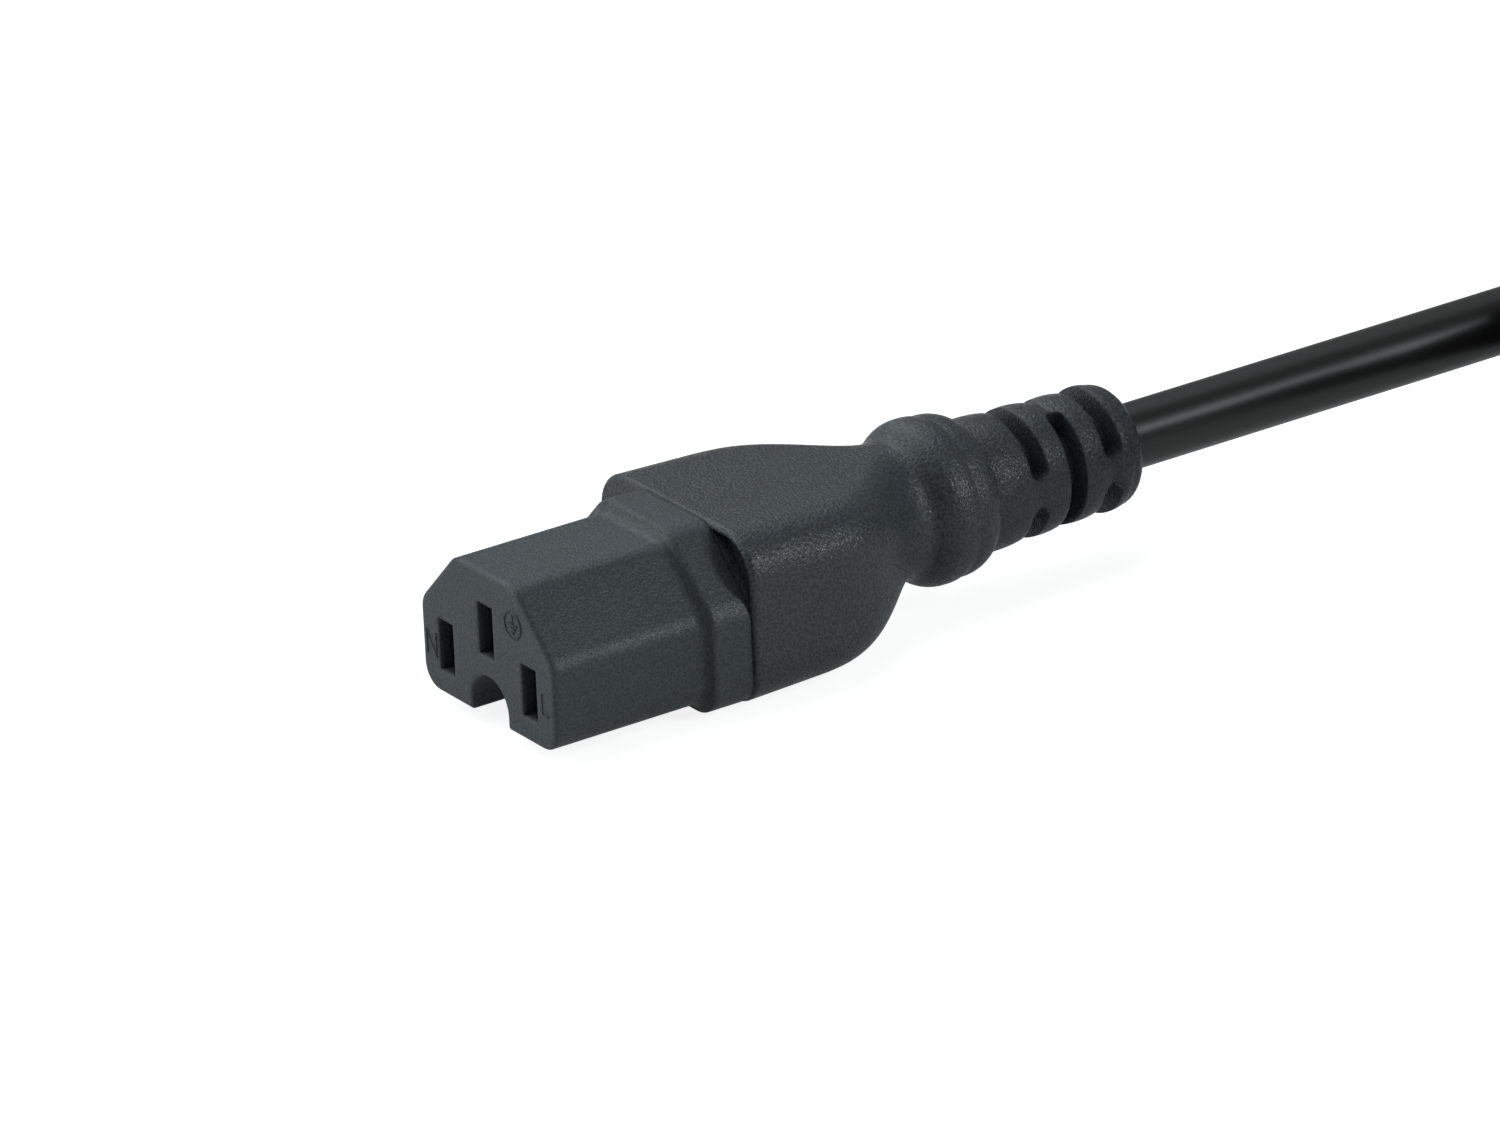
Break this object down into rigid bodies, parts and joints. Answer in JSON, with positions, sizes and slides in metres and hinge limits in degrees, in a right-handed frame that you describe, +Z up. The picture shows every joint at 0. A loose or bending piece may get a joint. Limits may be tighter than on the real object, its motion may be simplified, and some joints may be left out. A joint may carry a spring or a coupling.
{
  "type": "iec power cord",
  "caption": "Mains lead with a keyed, notched line connector, a grained boot with a grooved strain relief, and a round black cord coiled to a male plug.",
  "frame": {"origin": "middle of the connector's underside: centre of the connector's own box in X and Y, on the surface that it lies on", "axes": "+Y from the mating face towards the cord, +Z up through the earth slot, +X to the right of someone looking into the face"},
  "size_m": [0.0889, 0.2057, 0.0416],
  "materials": {
    "insert_pvc": "smooth matt moulding",
    "boot_pvc": "spark-eroded grain",
    "jacket_pvc": "satin extruded sheath",
    "contact_brass": "stamped sheet",
    "pin_brass": "nickel-plated brass",
    "copper": "bare strands",
    "line_core_pvc": "satin",
    "neutral_core_pvc": "satin",
    "earth_core_pvc": "satin",
    "tie_fabric": "woven band"
  },
  "bodies": {
    "root": {"connector_insert": "insert_pvc", "connector_boot": "boot_pvc", "neutral_contact": "contact_brass", "neutral_strands": "copper", "neutral_core": "neutral_core_pvc", "line_contact": "contact_brass", "line_strands": "copper", "line_core": "line_core_pvc", "earth_contact": "contact_brass", "earth_strands": "copper", "earth_core": "earth_core_pvc", "cord_jacket": "jacket_pvc", "cord_coil": "jacket_pvc", "cord_tail": "jacket_pvc", "cord_tie": "tie_fabric", "plug_shroud": "insert_pvc", "plug_boot": "boot_pvc", "plug_neutral_pin": "pin_brass", "plug_neutral_strands": "copper", "plug_neutral_core": "neutral_core_pvc", "plug_line_pin": "pin_brass", "plug_line_strands": "copper", "plug_line_core": "line_core_pvc", "plug_earth_pin": "pin_brass", "plug_earth_strands": "copper", "plug_earth_core": "earth_core_pvc"}
  },
  "joints": []
}
